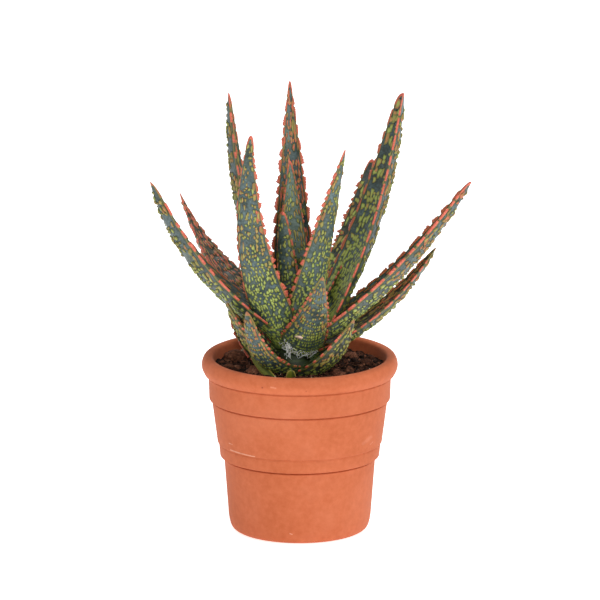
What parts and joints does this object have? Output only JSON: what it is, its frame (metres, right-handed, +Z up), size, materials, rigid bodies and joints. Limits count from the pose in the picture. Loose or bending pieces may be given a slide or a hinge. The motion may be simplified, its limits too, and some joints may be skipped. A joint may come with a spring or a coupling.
{
  "type": "potted aloe plant",
  "caption": "Aloe rosette of thick, toothed, speckled leaves growing in soil in a banded clay flower pot.",
  "frame": {"origin": "centre of the pot's resting face, on the surface the pot stands on", "axes": "+Z up along the pot's axis, -Y towards the viewer of the picture, +X to the viewer's right, along the widest pair of leaves"},
  "size_m": [0.2099, 0.133, 0.296],
  "materials": {
    "clay": "matt unglazed fired clay",
    "soil": "damp crumbly potting soil",
    "stem": "dull living stem",
    "leaf": "waxy succulent skin, satin"
  },
  "bodies": {
    "root": {"pot": "clay", "soil": "soil", "stem": "stem", "leaf_01": "leaf", "leaf_02": "leaf", "leaf_03": "leaf", "leaf_04": "leaf", "leaf_05": "leaf", "leaf_06": "leaf", "leaf_07": "leaf", "leaf_08": "leaf", "leaf_09": "leaf", "leaf_10": "leaf", "leaf_11": "leaf", "leaf_12": "leaf", "leaf_13": "leaf", "leaf_14": "leaf", "leaf_15": "leaf", "leaf_16": "leaf", "leaf_17": "leaf", "leaf_18": "leaf", "leaf_19": "leaf"}
  },
  "joints": []
}
